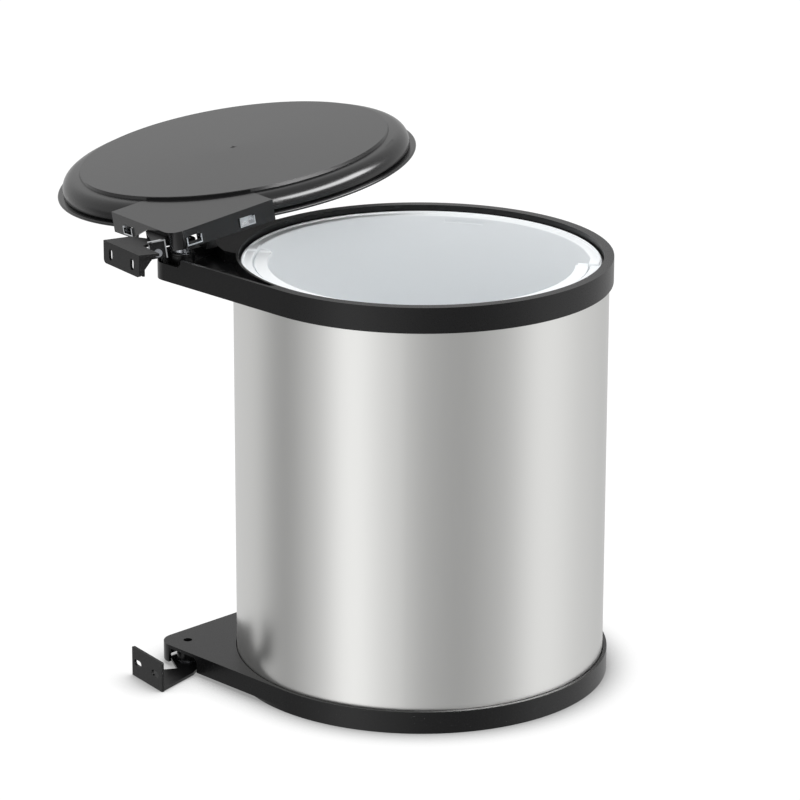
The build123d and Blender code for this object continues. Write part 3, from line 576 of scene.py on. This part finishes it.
def surroundings(context, settings):
    """World light: white to the camera, even for matt surfaces, shaped for glossy ones."""
    world = bpy.data.worlds.new("Studio")
    world.use_nodes = True
    context.scene.world = world
    tree = world.node_tree
    tree.nodes.clear()
    link = tree.links.new
    direction = add_node(tree, "ShaderNodeTexCoord", (-1700, 0))
    turn = add_node(tree, "ShaderNodeVectorRotate", (-1520, 0), rotation_type="Z_AXIS")
    turn.inputs["Angle"].default_value = math.radians(-CAMERA_SIDE)
    split = add_node(tree, "ShaderNodeSeparateXYZ", (-1340, 0))
    azimuth = add_node(tree, "ShaderNodeMath", (-1160, 0), operation="ARCTAN2")
    half_turn = {"From Min": -math.pi, "From Max": math.pi, "To Min": 0.0, "To Max": 1.0}
    share = add_node(tree, "ShaderNodeMapRange", (-980, 0), half_turn)
    link(direction.outputs["Generated"], turn.inputs["Vector"])
    link(turn.outputs["Vector"], split.inputs["Vector"])
    link(split.outputs["Y"], azimuth.inputs[0])
    link(split.outputs["X"], azimuth.inputs[1])
    link(azimuth.outputs["Value"], share.inputs["Value"])

    def step(at, sines):
        """Goes from 0 to 1 between the sines of two elevations."""
        node = add_node(tree, "ShaderNodeMapRange", at, {"From Min": sines[0], "From Max": sines[1]})
        link(split.outputs["Z"], node.inputs["Value"])
        return node.outputs["Result"]

    def scaled(at, value, factor):
        """A value times a plain number."""
        node = add_node(tree, "ShaderNodeMath", at, {1: factor}, operation="MULTIPLY")
        link(value, node.inputs[0])
        return node.outputs["Value"]

    def product(at, first, second):
        """One value times another."""
        node = add_node(tree, "ShaderNodeMath", at, operation="MULTIPLY")
        link(first, node.inputs[0])
        link(second, node.inputs[1])
        return node.outputs["Value"]

    bands, band_peak = azimuth_ramp(tree, SURROUND_LEVELS, (-780, 0), share.outputs["Result"])
    wide, _ = azimuth_ramp(tree, WINDOW_SPAN, (-780, 300), share.outputs["Result"])
    foot = step((-780, 600), WINDOW_FOOT)
    head = step((-780, 800), WINDOW_HEAD)
    tall = product((-500, 500), foot, head)
    bright = scaled((-300, 400), product((-400, 300), wide, tall), WINDOW_LEVEL)
    level = add_node(tree, "ShaderNodeMix", (-300, 0), {"B": SKY_LEVEL}, data_type="FLOAT")
    link(step((-500, -200), HORIZON), level.inputs["Factor"])
    link(scaled((-500, 0), bands, band_peak), level.inputs["A"])
    total = add_node(tree, "ShaderNodeMath", (-120, 100), operation="ADD")
    link(level.outputs["Result"], total.inputs[0])
    link(bright, total.inputs[1])

    shaped = add_node(tree, "ShaderNodeBackground", (60, 0), {"Color": WHITE})
    link(total.outputs["Value"], shaped.inputs["Strength"])
    even_light = {"Color": WHITE, "Strength": settings.sky_strength}
    even = add_node(tree, "ShaderNodeBackground", (60, -160), even_light)
    background = {"Color": WHITE, "Strength": BACKGROUND_LEVEL}
    white = add_node(tree, "ShaderNodeBackground", (60, -320), background)
    path = add_node(tree, "ShaderNodeLightPath", (60, 400))
    glossy = add_node(tree, "ShaderNodeMixShader", (260, 0))
    seen = add_node(tree, "ShaderNodeMixShader", (440, 0))
    out = add_node(tree, "ShaderNodeOutputWorld", (620, 0))
    link(path.outputs["Is Glossy Ray"], glossy.inputs[0])
    link(even.outputs["Background"], glossy.inputs[1])
    link(shaped.outputs["Background"], glossy.inputs[2])
    link(path.outputs["Is Camera Ray"], seen.inputs[0])
    link(glossy.outputs["Shader"], seen.inputs[1])
    link(white.outputs["Background"], seen.inputs[2])
    link(seen.outputs["Shader"], out.inputs["Surface"])


FLOOR_REACH = 6.0
# How far the contact shadow reaches from what stands on the floor, in millimetres,
# and how the share of open sky within that reach turns into the paper's level
CONTACT_REACH = 30.0
CONTACT_SHADE = {"From Min": 0.45, "From Max": 0.97, "To Min": 0.3, "To Max": 1.05}
PAPER_GLOW = 0.12


def floor_sheet(context):
    """White sweep: plain paper to the bin, and white to the camera.

    The shadow that the camera sees is shaded by how much of the sky near each
    point is open.  It isn't cast by the lamp.
    """
    mesh = bpy.data.meshes.new("floor")
    corners = [(x * FLOOR_REACH, y * FLOOR_REACH, 0) for x, y in ((-1, -1), (1, -1), (1, 1), (-1, 1))]
    mesh.from_pydata(corners, [], [(0, 1, 2, 3)])
    floor = bpy.data.objects.new("floor", mesh)
    context.collection.objects.link(floor)
    material, shader = new_material("Paper sweep, white", "#fbfbfb", 0.9)
    shader.inputs["Specular IOR Level"].default_value = 0.0
    shader.inputs["Emission Color"].default_value = WHITE
    shader.inputs["Emission Strength"].default_value = PAPER_GLOW
    tree = material.node_tree
    reach = {"Distance": CONTACT_REACH * MM}
    near = add_node(tree, "ShaderNodeAmbientOcclusion", (-500, -300), reach, samples=8)
    shade = add_node(tree, "ShaderNodeMapRange", (-300, -300), CONTACT_SHADE)
    paper = add_node(tree, "ShaderNodeEmission", (-100, -300), {"Color": WHITE})
    path = add_node(tree, "ShaderNodeLightPath", (-100, 300))
    seen = add_node(tree, "ShaderNodeMixShader", (300, 0))
    tree.links.new(near.outputs["AO"], shade.inputs["Value"])
    tree.links.new(shade.outputs["Result"], paper.inputs["Strength"])
    tree.links.new(path.outputs["Is Camera Ray"], seen.inputs[0])
    tree.links.new(shader.outputs["BSDF"], seen.inputs[1])
    tree.links.new(paper.outputs["Emission"], seen.inputs[2])
    tree.links.new(seen.outputs["Shader"], tree.nodes["Material Output"].inputs["Surface"])
    mesh.materials.append(material)
    floor.visible_glossy = False


LAMP_SIDE = 1.6
LAMP_PLACE = (0.2, 0.3, 1.8)
LAMP_AIM = (0.0, 0.0, 0.2)


def overhead_lamp(context, settings):
    """Large soft lamp above the bin."""
    data = bpy.data.lights.new("overhead", "AREA")
    data.shape = "SQUARE"
    data.size = LAMP_SIDE
    data.energy = settings.key_strength
    lamp = bpy.data.objects.new("overhead", data)
    lamp.location = LAMP_PLACE
    aim = Vector(LAMP_AIM) - lamp.location
    lamp.rotation_euler = aim.to_track_quat("-Z", "Y").to_euler()
    lamp.visible_glossy = False
    context.collection.objects.link(lamp)


# The camera's place and turn, found from the round edges and brackets in the photograph
CAMERA_DISTANCE = 2678.6
CAMERA_HEIGHT = 1069.4
CAMERA_LOOK = 55.315
CAMERA_PITCH = 18.0
CAMERA_ROLL = 0.0029
SENSOR_WIDTH = 36.0


def photo_camera(context, settings):
    """Camera at the photograph's angle."""
    data = bpy.data.cameras.new("camera")
    data.sensor_width = SENSOR_WIDTH
    data.lens = settings.lens
    data.clip_start = 0.1
    data.clip_end = 60.0
    camera = bpy.data.objects.new("camera", data)
    side = math.radians(CAMERA_SIDE)
    camera.location = (
        CAMERA_DISTANCE * MM * math.cos(side),
        CAMERA_DISTANCE * MM * math.sin(side),
        CAMERA_HEIGHT * MM,
    )
    azimuth = math.radians(CAMERA_LOOK)
    pitch = math.radians(CAMERA_PITCH)
    look = Vector(
        (math.cos(azimuth) * math.cos(pitch), math.sin(azimuth) * math.cos(pitch), -math.sin(pitch))
    )
    right = look.cross(Vector((0, 0, 1))).normalized()
    up = right.cross(look)
    rolled_right = math.cos(CAMERA_ROLL) * right + math.sin(CAMERA_ROLL) * up
    rolled_up = math.cos(CAMERA_ROLL) * up - math.sin(CAMERA_ROLL) * right
    camera.rotation_euler = Matrix((rolled_right, rolled_up, -look)).transposed().to_euler()
    context.collection.objects.link(camera)
    context.scene.camera = camera


class BIN_OT_stage(bpy.types.Operator):
    """White floor and surroundings, one soft lamp and the camera"""

    bl_idname = "bin.stage"
    bl_label = "Stage"

    def execute(self, context):
        settings = context.scene.bin_settings
        surroundings(context, settings)
        floor_sheet(context)
        overhead_lamp(context, settings)
        photo_camera(context, settings)
        context.scene.view_settings.view_transform = "Standard"
        return {"FINISHED"}


class BIN_PT_panel(bpy.types.Panel):
    """Sizes of the dressing and the steps that build it"""

    bl_label = "Built-in Bin"
    bl_idname = "BIN_PT_panel"
    bl_space_type = "VIEW_3D"
    bl_region_type = "UI"
    bl_category = "Bin"

    def draw(self, context):
        settings = context.scene.bin_settings
        for name in ("rivet_radius", "screw_radius", "gate_radius", "fitting_segments"):
            self.layout.prop(settings, name)
        for name in ("key_strength", "sky_strength", "lens"):
            self.layout.prop(settings, name)
        for operator in OPERATORS:
            self.layout.operator(operator.bl_idname)


OPERATORS = (BIN_OT_finishes, BIN_OT_rivets, BIN_OT_screws, BIN_OT_gate_mark, BIN_OT_stage)
CLASSES = (BinSettings, *OPERATORS, BIN_PT_panel)


def register():
    for entry in CLASSES:
        bpy.utils.register_class(entry)
    bpy.types.Scene.bin_settings = PointerProperty(type=BinSettings)


def unregister():
    del bpy.types.Scene.bin_settings
    for entry in reversed(CLASSES):
        bpy.utils.unregister_class(entry)


def main():
    for piece in list(bpy.data.objects):
        bpy.data.objects.remove(piece)
    register()
    bpy.ops.bin.finishes()
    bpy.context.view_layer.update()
    for operator in OPERATORS[1:]:
        group, name = operator.bl_idname.split(".")
        getattr(getattr(bpy.ops, group), name)()


if __name__ == "__main__":
    main()
